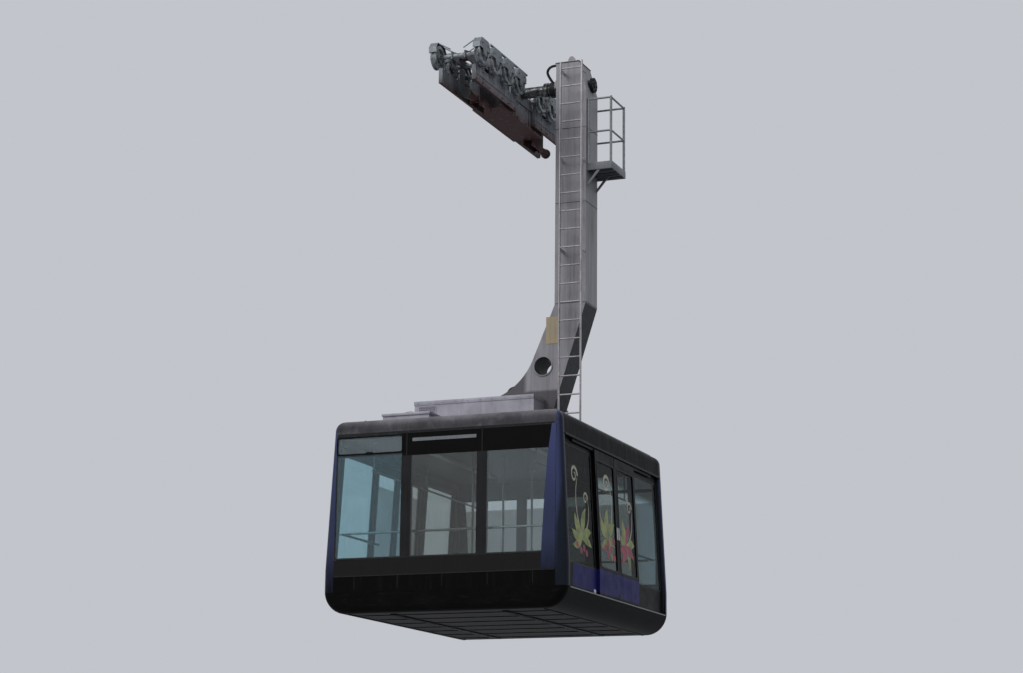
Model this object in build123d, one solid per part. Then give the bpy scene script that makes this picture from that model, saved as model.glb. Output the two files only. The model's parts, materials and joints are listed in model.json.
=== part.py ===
from build123d import *
import os
from math import cos, hypot, pi, sin

# Aerial tramway vehicle: cabin, hanger and two-rope carriage. Sizes in mm.
# Row frame: origin midway between the two track ropes at carriage centre, at rope height,
# +X the way of travel, +Y left, +Z up. The cabin's own heights count up from its underside.

# Track ropes and the height at which the cabin hangs below them
rope_radius = 25
rope_gauge = 700
cabin_drop = 8000

# Cabin body
cabin_length = 4400
cabin_width = 3690
cabin_height = 2750
roof_inset = 110
waist_height = 620
floor_corner_radius = 330
roof_corner_radius = 140
end_corner_radius = 100
skin = 110
end_wall = 60
door_recess = 50
skirt_height = 300
roof_seam_drop = 350
cove_depth = 210
hoop_width = 140
corner_post_width = 165
pan_thickness = 60
floor_level = 290
floor_thickness = 40
least_roof_bend = 20
bearer_width = 60
bearer_count = 5
ceiling_drop = 270
ceiling_thickness = 15
lamp_width = 120
lamp_depth = 30
lamp_length = 3000
lamp_offset = 800

# End windows, one of them with a hopper pane above it
end_sill = 750
end_sill_rebate = 30
end_header = 530
end_margin = 25
end_mullion = 155
hopper_transom = 45
hopper_header = 260
glass_thickness = 10

# Side windows and the two-leaf sliding doors
side_sill = 650
side_header = 450
window_jamb = 70
door_leaf_width = 850
door_leaf_gap = 6
door_overlap = 30
leaf_bottom = 308
leaf_top_gap = 15
leaf_thickness = 40
leaf_running_gap = 5
leaf_stile = 65
leaf_window_bottom = 700
leaf_header = 510
leaf_glass_inset = 10
rail_thickness = 8
rail_drop = 40
rail_slot_depth = 55
rail_clearance = 0.3
rail_reach = 1700

# Inside the cabin
handrail_height = 1140
handrail_radius = 17
handrail_offset = 80
desk_length = 350
desk_width = 550
desk_height = 960
desk_margin = 60
desk_slope = 117

# Roof housing and hatch
housing_length = 1400
housing_right_y = -750
housing_left_y = 1160
housing_height = 530
housing_wall = 30
hatch_length = 700
hatch_width = 730
hatch_height = 130
hatch_end_gap = 350
hatch_y = 765

# Hanger, its heights counted from the cabin's underside
hanger_width = 500
hanger_depth = 490
hanger_inner_y = -890
hanger_top = 8500
head_chamfer_width = 120
head_chamfer_height = 450
knee_height = 4710
foot_inner_y = -300
foot_outer_y = -765
foot_flare = 646
foot_flange = 25
hub_radius = 150
hub_length = 70
foot_hole_radius = 135
foot_hole_y = -715
foot_hole_height = 3790
cap_radius = 115
cap_length = 45
plate_width = 210
plate_height = 410
plate_thickness = 4
plate_y = -865
plate_level = 4325

# Ladder on the hanger
ladder_gauge = 340
ladder_y = -1200
ladder_standoff = 170
ladder_top = 8450
rung_pitch = 280
first_rung = 270
rung_radius = 12
stringer_depth = 45
stringer_width = 15
ladder_stay_pitch = 1400

# Service basket at the hanger's head
basket_floor_level = 6780
basket_floor_thickness = 40
basket_rail_height = 1060
basket_mid_height = 540
basket_front_x = -220
basket_back_x = 400
basket_outer_y = -1780
basket_side_y = -1150
basket_rail_radius = 15
basket_post_radius = 19
basket_brace_x = 200
basket_brace_y = -1560
basket_brace_drop = 220
basket_brace_depth = 50
basket_brace_thickness = 20

# Wheels and the beams that share the load between them
tread_radius = 160
flange_radius = 178
wheel_width = 90
wheel_web = 36
wheel_hub_radius = 70
wheel_rim = 28
wheel_hole_radius = 24
wheel_hole_count = 6
axle_radius = 35
wheel_pitch = 480
truck_x = 1180
running_clearance = 0.05
side_clearance = 10

# Rockers, which carry two wheelsets each
rocker_pivot_rise = 50
rocker_pin_radius = 30
rocker_plate = 20
rocker_inner_y = 95
rocker_end = 55

# Trucks, which carry two rockers each
truck_beam_width = 90
truck_pivot_height = 330
truck_pin_radius = 40
truck_eye_radius = 55
truck_end_drop = 30
truck_end_taper = 60
truck_web_bottom = 278
truck_web_top = 390
truck_yoke_bottom = 425
truck_yoke_depth = 50
truck_yoke_length = 120
side_bar_y = 245
side_bar_width = 40
side_bar_depth = 240
side_bar_reach = 785

# Main girder between the ropes
girder_length = 1660
girder_width = 460
girder_top = 0
girder_depth = 300
cheek_height = 170
cheek_thickness = 25
cheek_notch_width = 140
cheek_notch_bottom = 30
tower_length = 360
tower_top = 290
nose_end = 1300
nose_top = -30
nose_bottom = -380
nose_taper = 30
lug_plate = 20
lug_eye_radius = 75

# Axle that the hanger swings on, with its damper lever
hanger_axle_height = 170
hanger_axle_radius = 85
damper_y = -650
damper_width = 60
damper_length = 80
damper_drop = 300
damper_collar = 35

# Haul rope sockets
socket_height = -300
socket_length = 320
socket_root_radius = 45
socket_mouth_radius = 70
haul_rope_radius = 16
socket_bore_depth = 200

# Handrail over the carriage
walkway_rail_height = 460
walkway_rail_length = 1500
walkway_post_x = 140
walkway_tube_radius = 20

# Places worked out from the sizes above
rope_y = rope_gauge / 2
wheel_height = rope_radius + tread_radius
rocker_pivot_height = wheel_height + rocker_pivot_rise
hanger_outer_y = hanger_inner_y - hanger_depth
hanger_axle_level = cabin_drop + hanger_axle_height
end_x = cabin_length / 2
hoop_x = end_x - hoop_width
hoop_y = cabin_width / 2 - corner_post_width
roof_seam = cabin_height - roof_seam_drop
cove_height = cabin_height - cove_depth
ceiling_level = cabin_height - ceiling_drop
end_window_top = cabin_height - end_header
end_window_width = (2 * (hoop_y - end_margin - end_mullion)) / 3
half_leaf_gap = door_leaf_gap / 2
doorway_half = door_leaf_width + half_leaf_gap - door_overlap
side_window_top = cabin_height - side_header
side_window_near = door_leaf_width + window_jamb
side_window_far = hoop_x - window_jamb
leaf_top = roof_seam - leaf_top_gap
leaf_window_top = cabin_height - leaf_header
hatch_x = -(end_x - hatch_end_gap - hatch_length / 2)
housing_top = cabin_height + housing_height
solids = {}


def block(x, y, z):
    """Box between two X, two Y and two Z values."""
    size = [abs(pair[1] - pair[0]) for pair in (x, y, z)]
    middle = [(pair[0] + pair[1]) / 2 for pair in (x, y, z)]
    return Pos(*middle) * Box(*size)


def bar_x(radius, x, y, z):
    """Round bar along X between two X values."""
    return Pos((x[0] + x[1]) / 2, y, z) * Rot(0, 90, 0) * Cylinder(radius, abs(x[1] - x[0]))


def bar_y(radius, x, y, z):
    """Round bar along Y between two Y values."""
    return Pos(x, (y[0] + y[1]) / 2, z) * Rot(90, 0, 0) * Cylinder(radius, abs(y[1] - y[0]))


def tube(radius, points):
    """Round tube through points."""
    parts = []
    for start, end in zip(points, points[1:]):
        run = Vector(*end) - Vector(*start)
        plane = Plane(origin=Vector(*start) + run * 0.5, z_dir=run)
        parts.append(plane * Cylinder(radius, run.length))
    return union(parts)


def union(parts):
    """One solid, or several where they don't touch, from a list."""
    whole = parts[0]
    for part in parts[1:]:
        whole = whole + part
    return whole


def side_plate(points, y):
    """Plate in the XZ plane with its outline's points, between two Y values."""
    outline = Plane.XZ * Polygon(*points, align=None)
    return Pos(0, (y[0] + y[1]) / 2, 0) * extrude(outline, amount=abs(y[1] - y[0]) / 2, both=True)


def body_section(inset):
    """Cabin cross-section, each side, roof and floor moved in by inset."""
    half = cabin_width / 2 - inset
    top = half - roof_inset
    roof = cabin_height - inset
    points = [(-half, inset), (half, inset), (half, waist_height), (top, roof),
              (-top, roof), (-half, waist_height)]
    section = Polygon(*points, align=None)
    section = fillet(section.vertices().group_by(Axis.Y)[0], floor_corner_radius - inset)
    roof_bend = max(roof_corner_radius - inset, least_roof_bend)
    return fillet(section.vertices().group_by(Axis.Y)[-1], roof_bend)


def prism(inset, x):
    """Cabin section run along X between two X values."""
    return Pos(x[0], 0, 0) * extrude(Plane.YZ * body_section(inset), amount=x[1] - x[0])


def layer(outer, inner, x, z):
    """Both side walls' layer from one inset to another, within X and Z bands."""
    band = block(x, (-cabin_width, cabin_width), z)
    return (prism(outer, x) - prism(inner, x)) & band


def side_half(side):
    """Everything on the left (side 1) or right (side -1) of the centre line."""
    return block((-cabin_length, cabin_length), (0, side * cabin_width), (-cabin_height, 2 * cabin_height))


def tag(name, shape, level=0):
    """Keep a solid under its node name, lowered from cabin heights where level is cabin_drop."""
    solids[name] = Pos(0, 0, -level) * shape


def cabin_hollow():
    """Body skin before it is split at its panel joints."""
    body = prism(0, (-end_x, end_x))
    rims = body.faces().sort_by(Axis.X)
    body = fillet(rims[0].edges() + rims[-1].edges(), end_corner_radius)
    return body - prism(skin, (-end_x + end_wall, end_x - end_wall))


def cabin_body():
    hollow = cabin_hollow()
    room = prism(skin, (-end_x + end_wall, end_x - end_wall))
    everywhere_y = (-cabin_width, cabin_width)
    length = (-cabin_length, cabin_length)

    pan = hollow & block(length, everywhere_y, (0, skirt_height))
    floor_bottom = floor_level - floor_thickness
    for index in range(bearer_count):
        x = (index - (bearer_count - 1) / 2) * cabin_length / (bearer_count + 1)
        band = block((x - bearer_width / 2, x + bearer_width / 2), everywhere_y, (pan_thickness, floor_bottom))
        pan = pan + (room & band)
    tag("floor_pan", pan, cabin_drop)
    tag("interior_floor", room & block(length, everywhere_y, (floor_bottom, floor_level)), cabin_drop)

    roof = hollow & block(length, everywhere_y, (roof_seam, cabin_height))
    for end, sign in (("rear", -1), ("front", 1)):
        outer = sign * cabin_length
        end_zone = block((sign * (end_x - end_wall), outer), (-hoop_y, hoop_y), (skirt_height, cove_height))
        posts = []
        for side in (-1, 1):
            corner = block((sign * hoop_x, outer), (side * hoop_y, side * cabin_width),
                           (skirt_height, cabin_height))
            posts.append(hollow & corner)
            roof = roof - corner
        roof = roof - end_zone
        tag("corner_posts_" + end, union(posts), cabin_drop)
        band = hollow & end_zone
        tag("end_panel_" + end, band & block(length, everywhere_y, (skirt_height, end_sill)), cabin_drop)
        upper = band & block(length, everywhere_y, (end_sill, cove_height))
        glass_x = (sign * (end_x - glass_thickness), outer)
        glazing = upper & block(glass_x, everywhere_y, (end_sill, cove_height))
        frame = upper - glazing
        for column in (-1, 0, 1):
            middle = column * (end_window_width + end_mullion)
            span = (middle - end_window_width / 2, middle + end_window_width / 2)
            frame = frame - block((0, outer), span, (end_sill + end_sill_rebate, end_window_top))
            if column == -sign:
                hopper_z = (end_window_top + hopper_transom, cabin_height - hopper_header)
                frame = frame - block((0, outer), span, hopper_z)
        tag("end_frame_" + end, frame, cabin_drop)
        tag("end_glass_" + end, glazing, cabin_drop)

    tag("roof_shell", roof, cabin_drop)
    rail_outer = door_recess - leaf_running_gap - leaf_thickness / 2 - rail_thickness / 2
    rail_z = (roof_seam - rail_drop, roof_seam)
    rails = layer(rail_outer, rail_outer + rail_thickness, (-rail_reach, rail_reach), rail_z)
    tag("door_rails", rails, cabin_drop)
    ceiling = room & block(length, everywhere_y, (ceiling_level, ceiling_level + ceiling_thickness))
    tag("ceiling", ceiling, cabin_drop)
    lamps = []
    for side in (-1, 1):
        y = side * lamp_offset
        lamps.append(block((-lamp_length / 2, lamp_length / 2), (y - lamp_width / 2, y + lamp_width / 2),
                           (ceiling_level - lamp_depth, ceiling_level)))
    tag("ceiling_lamps", union(lamps), cabin_drop)


def cabin_sides():
    """Four wall panels beside the doorways, each with a fixed window."""
    everywhere_y = (-cabin_width, cabin_width)
    panes = {"left": [], "right": []}
    window_z = (side_sill, side_window_top)
    for end, sign in (("rear", -1), ("front", 1)):
        wall_x = sorted((sign * doorway_half, sign * hoop_x))
        window_x = sorted((sign * side_window_near, sign * side_window_far))
        wall = layer(door_recess, skin, wall_x, (skirt_height, roof_seam))
        wall = wall - block(window_x, everywhere_y, window_z)
        pane = layer(door_recess, door_recess + glass_thickness, window_x, window_z)
        for name, side in (("left", 1), ("right", -1)):
            tag("side_wall_" + name + "_" + end, wall & side_half(side), cabin_drop)
            panes[name].append(pane & side_half(side))
    for name in panes:
        tag("side_glass_" + name, union(panes[name]), cabin_drop)


def door_leaves():
    outer = door_recess - leaf_running_gap - leaf_thickness
    middle = outer + leaf_thickness / 2
    slot = rail_thickness / 2 + rail_clearance
    for end, sign in (("rear", -1), ("front", 1)):
        leaf_x = sorted((sign * half_leaf_gap, sign * (half_leaf_gap + door_leaf_width)))
        window_x = (leaf_x[0] + leaf_stile, leaf_x[1] - leaf_stile)
        window_z = (leaf_window_bottom, leaf_window_top)
        leaf = layer(outer, outer + leaf_thickness, leaf_x, (leaf_bottom, leaf_top))
        leaf = leaf - layer(middle - slot, middle + slot, leaf_x, (leaf_top - rail_slot_depth, leaf_top))
        leaf = leaf - block(window_x, (-cabin_width, cabin_width), window_z)
        pane = layer(outer + leaf_glass_inset, outer + leaf_glass_inset + glass_thickness, window_x, window_z)
        for name, side in (("left", 1), ("right", -1)):
            tag("door_leaf_" + name + "_" + end, leaf & side_half(side), cabin_drop)
            tag("door_glass_" + name + "_" + end, pane & side_half(side), cabin_drop)


def cabin_inside():
    inner_x = end_x - end_wall
    rail_x = inner_x - handrail_offset
    inner_y = cabin_width / 2 - skin
    lean = roof_inset / (cabin_height - waist_height)
    wall_y = inner_y - (handrail_height - waist_height) * lean
    rail_y = wall_y - handrail_offset
    mullion_y = (end_window_width + end_mullion) / 2
    near_jamb = (doorway_half + side_window_near) / 2
    far_jamb = (side_window_far + hoop_x) / 2
    room = prism(skin, (-inner_x, inner_x))
    rails = []
    for sign in (-1, 1):
        end_rail = bar_y(handrail_radius, sign * rail_x, (-hoop_y + skin, hoop_y - skin), handrail_height)
        for side in (-1, 1):
            bracket_x = sorted((sign * rail_x, sign * inner_x))
            end_rail = end_rail + bar_x(handrail_radius / 2, bracket_x, side * mullion_y, handrail_height)
        rails.append(end_rail)
        for side in (-1, 1):
            brackets = sorted((sign * near_jamb, sign * far_jamb))
            span = (brackets[0] - handrail_radius, brackets[1] + handrail_radius)
            side_rail = bar_x(handrail_radius, span, side * rail_y, handrail_height)
            bracket_y = (side * rail_y, side * inner_y)
            for x in brackets:
                side_rail = side_rail + bar_y(handrail_radius / 2, x, bracket_y, handrail_height)
            rails.append(side_rail & room)
    tag("handrails", union(rails), cabin_drop)
    desk_x = (rail_x - desk_margin - desk_length, rail_x - desk_margin)
    desk_y = (rail_y - desk_margin - desk_width, rail_y - desk_margin)
    desk = block(desk_x, desk_y, (floor_level, floor_level + desk_height))
    desk = chamfer(desk.edges().filter_by(Axis.Y).group_by(Axis.Z)[-1].sort_by(Axis.X)[0], desk_slope)
    tag("attendant_desk", desk, cabin_drop)


def roof_equipment():
    outer_x = (-housing_length / 2, housing_length / 2)
    outer_y = (housing_right_y, housing_left_y)
    housing = block(outer_x, outer_y, (cabin_height, housing_top))
    inner_x = (outer_x[0] + housing_wall, outer_x[1] - housing_wall)
    inner_y = (outer_y[0] + housing_wall, outer_y[1] - housing_wall)
    housing = housing - block(inner_x, inner_y, (cabin_height, housing_top - housing_wall))
    tag("roof_housing", housing, cabin_drop)
    hatch_span_x = (hatch_x - hatch_length / 2, hatch_x + hatch_length / 2)
    hatch_span_y = (hatch_y - hatch_width / 2, hatch_y + hatch_width / 2)
    hatch = block(hatch_span_x, hatch_span_y, (cabin_height, cabin_height + hatch_height))
    tag("roof_hatch", hatch, cabin_drop)


def hanger():
    """Bent box arm whose foot stands on the roof and flares out along the roof housing."""
    flange_top = housing_top + foot_flange
    slant = hypot(foot_inner_y - hanger_inner_y, knee_height - flange_top)
    along_y = (foot_inner_y - hanger_inner_y) / slant
    along_z = (flange_top - knee_height) / slant
    neck = (foot_inner_y - along_y * foot_flare, flange_top - along_z * foot_flare)
    toe = (foot_inner_y + foot_flare, flange_top)
    with BuildSketch(Plane.YZ) as outline:
        with BuildLine():
            Polyline(toe, (toe[0], housing_top), (housing_right_y, housing_top),
                     (housing_right_y, cabin_height), (foot_outer_y, cabin_height),
                     (hanger_outer_y, knee_height),
                     (hanger_outer_y, hanger_top - head_chamfer_height),
                     (hanger_outer_y + head_chamfer_width, hanger_top),
                     (hanger_inner_y, hanger_top), (hanger_inner_y, knee_height), neck)
            TangentArc(neck, toe, tangent=(along_y, along_z))
        make_face()
    arm = extrude(outline.sketch, amount=hanger_width / 2, both=True)
    arm = arm + bar_y(hub_radius, 0, (hanger_inner_y, hanger_inner_y + hub_length), hanger_axle_level)
    arm = arm - bar_x(foot_hole_radius, (-hanger_width, hanger_width), foot_hole_y, foot_hole_height)
    bearing = hanger_axle_radius + running_clearance
    arm = arm - bar_y(bearing, 0, (hanger_outer_y, hanger_inner_y + hub_length), hanger_axle_level)
    tag("hanger_arm", arm, cabin_drop)
    cap = bar_y(cap_radius, 0, (hanger_outer_y - cap_length, hanger_outer_y), hanger_axle_level)
    tag("pivot_cap", cap, cabin_drop)
    face_x = -hanger_width / 2
    plate = block((face_x - plate_thickness, face_x), (plate_y - plate_width / 2, plate_y + plate_width / 2),
                  (plate_level - plate_height / 2, plate_level + plate_height / 2))
    tag("blank_plate", plate, cabin_drop)


def ladder():
    face_x = -hanger_width / 2
    x = face_x - ladder_standoff
    parts = []
    for side in (-1, 1):
        y = ladder_y + side * ladder_gauge / 2
        parts.append(block((x - stringer_depth / 2, x + stringer_depth / 2),
                           (y - stringer_width / 2, y + stringer_width / 2), (cabin_height, ladder_top)))
        for index in range(int((ladder_top - knee_height) // ladder_stay_pitch) + 1):
            stay = ladder_top - rung_pitch / 2 - index * ladder_stay_pitch
            parts.append(block((x, face_x), (y - stringer_width / 2, y + stringer_width / 2),
                               (stay - stringer_depth / 2, stay + stringer_depth / 2)))
    span = (ladder_y - ladder_gauge / 2, ladder_y + ladder_gauge / 2)
    lowest = cabin_height + first_rung
    for index in range(int((ladder_top - lowest) // rung_pitch) + 1):
        parts.append(bar_y(rung_radius, x, span, lowest + rung_pitch * index))
    tag("ladder", union(parts), cabin_drop)


def basket():
    bottom = basket_floor_level
    top = bottom + basket_floor_thickness
    hanger_back_x = hanger_width / 2
    floor = block((basket_front_x, basket_back_x), (basket_outer_y, hanger_outer_y), (bottom, top))
    floor = floor + block((hanger_back_x, basket_back_x), (basket_outer_y, basket_side_y), (bottom, top))
    outline = Polygon((hanger_outer_y, bottom - basket_brace_drop), (basket_brace_y, bottom),
                      (basket_brace_y - basket_brace_depth, bottom),
                      (hanger_outer_y, bottom - basket_brace_drop - basket_brace_depth), align=None)
    brace = extrude(Plane.YZ * outline, amount=basket_brace_thickness / 2, both=True)
    for x in (-basket_brace_x, basket_brace_x):
        floor = floor + Pos(x, 0, 0) * brace
    tag("basket_floor", floor, cabin_drop)
    radius = basket_post_radius
    front = basket_front_x + radius
    back = basket_back_x - radius
    outer = basket_outer_y + radius
    side = basket_side_y - radius
    path = [(front, hanger_outer_y - radius), (front, outer), (back, outer), (back, side),
            (hanger_back_x + radius, side)]
    rails = []
    for height in (basket_mid_height, basket_rail_height):
        rails.append(tube(basket_rail_radius, [(px, py, top + height) for px, py in path]))
    for px, py in path:
        rails.append(tube(radius, [(px, py, top), (px, py, top + basket_rail_height + radius)]))
    tag("basket_rails", union(rails), cabin_drop)


def wheelset(name, x):
    """Axle and two grooved wheels that turn together."""
    half_width = wheel_width / 2
    parts = [bar_y(axle_radius, x, (-rope_y - half_width, rope_y + half_width), wheel_height)]
    for side in (-1, 1):
        y = side * rope_y
        wheel = bar_y(flange_radius, x, (y - half_width, y + half_width), wheel_height)
        groove = Pos(x, y, wheel_height) * Rot(90, 0, 0) * Torus(wheel_height, rope_radius)
        dish = (wheel_width - wheel_web) / 2
        for face in (-1, 1):
            recess_y = sorted((y + face * half_width, y + face * (half_width - dish)))
            recess = bar_y(tread_radius - wheel_rim, x, recess_y, wheel_height)
            wheel = wheel - (recess - bar_y(wheel_hub_radius, x, recess_y, wheel_height))
        middle = (tread_radius - wheel_rim + wheel_hub_radius) / 2
        for index in range(wheel_hole_count):
            turn = 2 * pi * index / wheel_hole_count
            wheel = wheel - bar_y(wheel_hole_radius, x + middle * cos(turn), (y - half_width, y + half_width),
                                  wheel_height + middle * sin(turn))
        parts.append(wheel - groove)
    tag(name, union(parts))


def rocker(name, x):
    """Two plates on a pivot pin, carrying two wheelsets."""
    half = wheel_pitch / 2
    reach = half + rocker_end
    low = wheel_height - rocker_end
    high = rocker_pivot_height + rocker_end
    corner = wheel_height + rocker_end
    outline = [(-reach, low), (reach, low), (reach, corner), (rocker_end, high),
               (-rocker_end, high), (-reach, corner)]
    plates = []
    for side in (-1, 1):
        y = sorted((side * rocker_inner_y, side * (rocker_inner_y + rocker_plate)))
        plate = side_plate([(x + px, pz) for px, pz in outline], y)
        for end in (-1, 1):
            hole = axle_radius + running_clearance
            plate = plate - bar_y(hole, x + end * half, (y[0] - 1, y[1] + 1), wheel_height)
        plates.append(plate)
    pin_end = rocker_inner_y + rocker_plate
    plates.append(bar_y(rocker_pin_radius, x, (-pin_end, pin_end), rocker_pivot_height))
    tag(name, union(plates))


def truck(name, x):
    """Arched beam over two rockers, with a yoke that carries the two side bars."""
    half = truck_beam_width / 2
    outline = [(-wheel_pitch, rocker_pivot_height - truck_end_drop),
               (truck_end_taper - wheel_pitch, truck_web_bottom),
               (wheel_pitch - truck_end_taper, truck_web_bottom),
               (wheel_pitch, rocker_pivot_height - truck_end_drop),
               (wheel_pitch, rocker_pivot_height + truck_eye_radius),
               (wheel_pitch / 2, truck_web_top), (truck_yoke_length / 2, truck_yoke_bottom),
               (-truck_yoke_length / 2, truck_yoke_bottom), (-wheel_pitch / 2, truck_web_top),
               (-wheel_pitch, rocker_pivot_height + truck_eye_radius)]
    parts = [side_plate([(x + px, pz) for px, pz in outline], (-half, half))]
    for sign in (-1, 1):
        parts.append(bar_y(truck_eye_radius, x + sign * wheel_pitch, (-half, half), rocker_pivot_height))
    yoke_x = (x - truck_yoke_length / 2, x + truck_yoke_length / 2)
    yoke_top = truck_yoke_bottom + truck_yoke_depth
    outer_y = side_bar_y + side_bar_width
    parts.append(block(yoke_x, (-outer_y, outer_y), (truck_yoke_bottom, yoke_top)))
    for side in (-1, 1):
        bar_span = (side * side_bar_y, side * outer_y)
        parts.append(block(yoke_x, bar_span, (-side_bar_depth, yoke_top)))
        parts.append(block((x - side_bar_reach, x + side_bar_reach), bar_span, (-side_bar_depth, 0)))
    body = union(parts)
    for sign in (-1, 1):
        hole = rocker_pin_radius + running_clearance
        body = body - bar_y(hole, x + sign * wheel_pitch, (-half - 1, half + 1), rocker_pivot_height)
    body = body - bar_y(truck_pin_radius + running_clearance, x, (-half - 1, half + 1), truck_pivot_height)
    tag(name, body)


def main_girder():
    """Box between the ropes with notched cheeks, a tower for the hanger axle and a nose at each end."""
    half = girder_width / 2
    half_length = girder_length / 2
    bottom = girder_top - girder_depth
    parts = [block((-half_length, half_length), (-half, half), (bottom, girder_top))]
    for side in (-1, 1):
        cheek_y = (side * (half - cheek_thickness), side * half)
        parts.append(block((-half_length, half_length), cheek_y, (girder_top, girder_top + cheek_height)))
    parts.append(block((-tower_length / 2, tower_length / 2), (-half, half), (girder_top, tower_top)))
    inner = truck_beam_width / 2 + side_clearance
    for end in (-1, 1):
        x = end * truck_x
        nose = [(end * half_length, nose_bottom), (end * (nose_end - nose_taper), nose_bottom),
                (end * nose_end, nose_bottom + nose_taper), (end * nose_end, nose_top),
                (end * half_length, nose_top)]
        for side in (-1, 1):
            span = sorted((side * inner, side * (inner + lug_plate)))
            parts.append(side_plate(nose, span))
            parts.append(block((x - lug_eye_radius, x + lug_eye_radius), span, (nose_top, truck_pivot_height)))
            parts.append(bar_y(lug_eye_radius, x, span, truck_pivot_height))
        pin_end = inner + lug_plate
        parts.append(bar_y(truck_pin_radius, x, (-pin_end, pin_end), truck_pivot_height))
        socket_seat = (end * (nose_end - nose_taper), end * nose_end)
        parts.append(block(socket_seat, (-inner, inner), (nose_bottom + nose_taper, nose_top)))
    body = union(parts)
    for end in (-1, 1):
        notch_x = end * (truck_x - 1.5 * wheel_pitch)
        notch = (notch_x - cheek_notch_width / 2, notch_x + cheek_notch_width / 2)
        body = body - block(notch, (-half, half), (cheek_notch_bottom, girder_top + cheek_height))
    tag("main_girder", body - bar_y(hanger_axle_radius, 0, (-half, half), hanger_axle_height))


def axle_and_damper():
    half = girder_width / 2
    axle = bar_y(hanger_axle_radius, 0, (hanger_outer_y, half), hanger_axle_height)
    lever_y = (damper_y - damper_width / 2, damper_y + damper_width / 2)
    lever = block((-damper_length / 2, damper_length / 2), lever_y, (hanger_axle_height - damper_drop,
                                                                      hanger_axle_height))
    collar = bar_y(hanger_axle_radius + damper_collar, 0, lever_y, hanger_axle_height)
    tag("hanger_axle", axle + lever + collar)


def haul_sockets():
    sockets = []
    for end in (-1, 1):
        root = end * nose_end
        cone = Cone(socket_root_radius, socket_mouth_radius, socket_length)
        place = Pos(root + end * socket_length / 2, 0, socket_height) * Rot(0, end * 90, 0)
        mouth = root + end * socket_length
        bore_x = sorted((mouth - end * socket_bore_depth, mouth + end * socket_mouth_radius))
        sockets.append(place * cone - bar_x(haul_rope_radius, bore_x, 0, socket_height))
    tag("haul_sockets", union(sockets))


def walkway_rail():
    half = walkway_rail_length / 2
    height = tower_top + walkway_rail_height
    rail = tube(walkway_tube_radius, [(-half, 0, height), (half, 0, height)])
    for x in (-walkway_post_x, walkway_post_x):
        rail = rail + tube(walkway_tube_radius, [(x, 0, tower_top), (x, 0, height)])
    tag("walkway_rail", rail)


cabin_body()
cabin_sides()
door_leaves()
cabin_inside()
roof_equipment()
hanger()
ladder()
basket()
main_girder()
axle_and_damper()
haul_sockets()
walkway_rail()
for end, sign in (("rear", -1), ("front", 1)):
    truck("truck_" + end, sign * truck_x)
    for place, rocker_sign in (("rear", -1), ("front", 1)):
        centre = sign * truck_x + rocker_sign * wheel_pitch
        rocker("rocker_" + end + "_" + place, centre)
        for index, wheel_sign in ((1, -1), (2, 1)):
            wheelset("wheelset_" + end + "_" + place + "_" + str(index), centre + wheel_sign * wheel_pitch / 2)

os.makedirs("parts", exist_ok=True)
for name, shape in solids.items():
    export_step(shape, "parts/" + name + ".step")
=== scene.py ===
import bmesh
import bpy
import json
from itertools import product
from math import cos, pi, radians, sin
from mathutils import Matrix, Vector
from types import SimpleNamespace


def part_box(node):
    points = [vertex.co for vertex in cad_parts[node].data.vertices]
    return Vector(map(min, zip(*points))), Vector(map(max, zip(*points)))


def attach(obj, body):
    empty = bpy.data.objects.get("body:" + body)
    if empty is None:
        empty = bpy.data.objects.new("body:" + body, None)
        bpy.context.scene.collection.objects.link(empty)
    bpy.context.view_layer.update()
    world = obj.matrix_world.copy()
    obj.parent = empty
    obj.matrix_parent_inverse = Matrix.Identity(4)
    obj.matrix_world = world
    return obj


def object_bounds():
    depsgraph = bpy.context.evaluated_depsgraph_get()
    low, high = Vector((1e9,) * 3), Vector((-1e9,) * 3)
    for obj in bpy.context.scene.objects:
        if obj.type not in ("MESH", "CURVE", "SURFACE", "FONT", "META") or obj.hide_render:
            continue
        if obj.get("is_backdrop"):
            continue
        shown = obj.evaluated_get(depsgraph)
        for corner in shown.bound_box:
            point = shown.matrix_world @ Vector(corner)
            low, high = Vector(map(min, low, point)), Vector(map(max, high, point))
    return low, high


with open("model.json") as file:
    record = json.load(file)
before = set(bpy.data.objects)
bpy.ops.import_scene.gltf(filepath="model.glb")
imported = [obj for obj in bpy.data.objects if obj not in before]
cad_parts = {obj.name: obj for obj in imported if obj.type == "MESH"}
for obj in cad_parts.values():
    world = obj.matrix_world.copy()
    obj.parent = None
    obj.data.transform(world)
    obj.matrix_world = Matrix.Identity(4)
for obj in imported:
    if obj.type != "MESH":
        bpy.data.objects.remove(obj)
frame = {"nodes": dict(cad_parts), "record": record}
cad_low, cad_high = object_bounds()
nodes = frame["nodes"]

# Sizes in metres, in the row frame. The cabin's heights count up from its underside, which hangs
# cabin_drop below the frame's origin.
cabin_drop = 8.0
end_x = 2.2
half_width = 1.845
waist = 0.62
roof_height = 2.75
roof_inset = 0.11
door_recess = 0.05
leaf_inset = 0.005
pane_inset = 0.015
film_top = 2.05
groove_y = 0.35
wheel_height = 0.185
wheel_pitch = 0.48
truck_x = 1.18
hanger_half = 0.25
hanger_inner_y = -0.89
hanger_outer_y = -1.38
hole_y, hole_z, hole_radius = -0.715, 3.79 - cabin_drop, 0.135

# Where the photograph was taken from, with a lens long enough to fill the frame
camera_place = Vector((-30.59, -12.63, -11.135))
camera_aim = Vector((0, -0.1, -3.66))
camera_lens = 79
camera_roll = radians(0.65)
backdrop = "C2C5CB"

ends = {"rear": -1, "front": 1}
sides = {"left": 1, "right": -1}


# Colours and shader nodes. One finish is laid out at a time, and at holds what it works with.

at = SimpleNamespace()


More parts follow.
